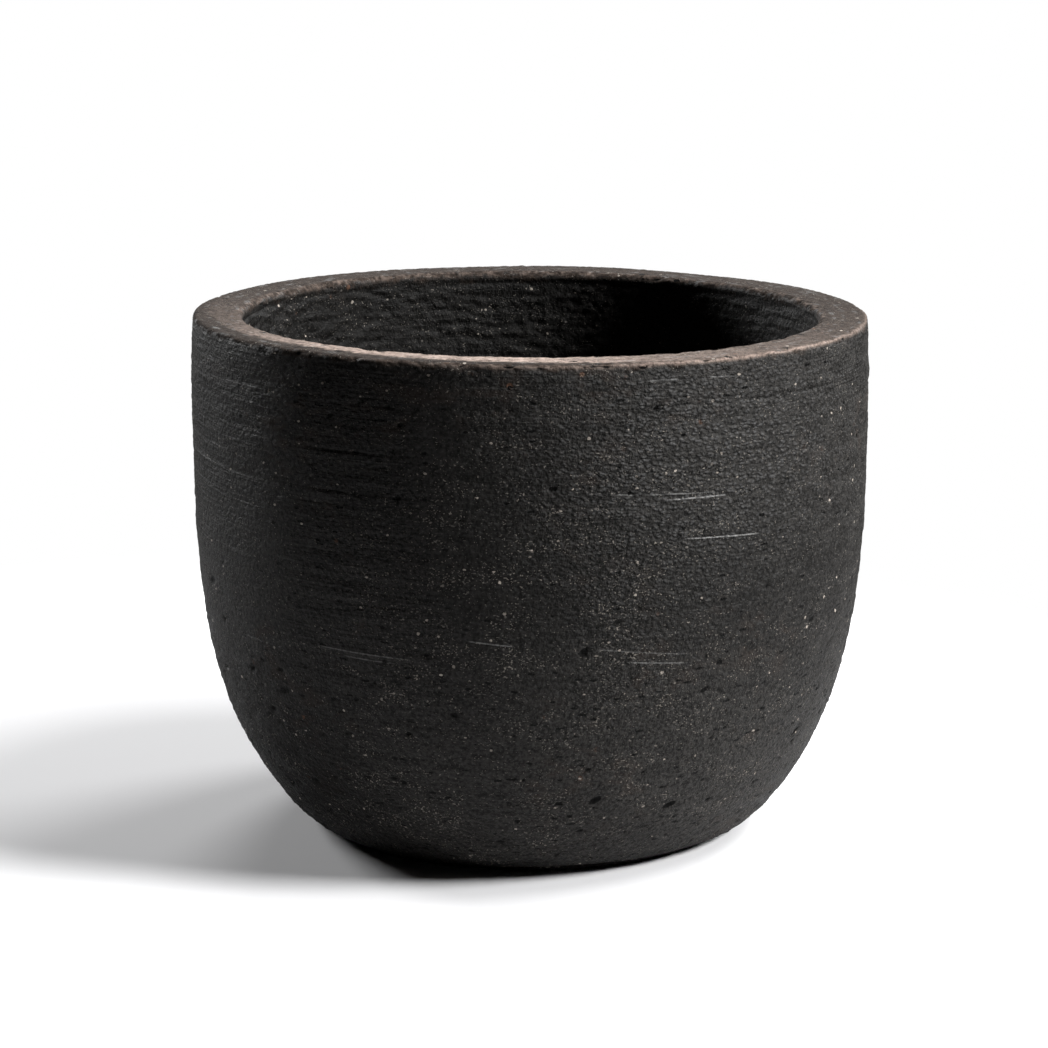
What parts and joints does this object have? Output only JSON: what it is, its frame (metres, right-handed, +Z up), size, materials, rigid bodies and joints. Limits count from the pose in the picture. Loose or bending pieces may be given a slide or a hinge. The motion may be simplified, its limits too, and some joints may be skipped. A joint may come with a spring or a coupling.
{
  "type": "barro negro clay pot",
  "caption": "Thick-walled round black clay pot with a flat base, a full bowl and a flat worn rim, built from a slab and stacked clay coils.",
  "frame": {"origin": "centre of the flat resting face, on the surface the pot stands on", "axes": "+Z up along the pot's axis, out of its mouth; X and Y are free, because the pot is round"},
  "size_m": [0.1612, 0.1612, 0.123],
  "materials": {
    "black_clay": "matte scraped smoke-blackened earthenware with pits, sand temper and drag marks",
    "browned_rim": "matte turned clay, browned and worn pale on its edges"
  },
  "bodies": {
    "root": {"base_slab": "black_clay", "foot_coil": "black_clay", "lower_wall_coil": "black_clay", "middle_wall_coil": "black_clay", "upper_wall_coil": "black_clay", "rim_coil": "browned_rim"}
  },
  "joints": []
}
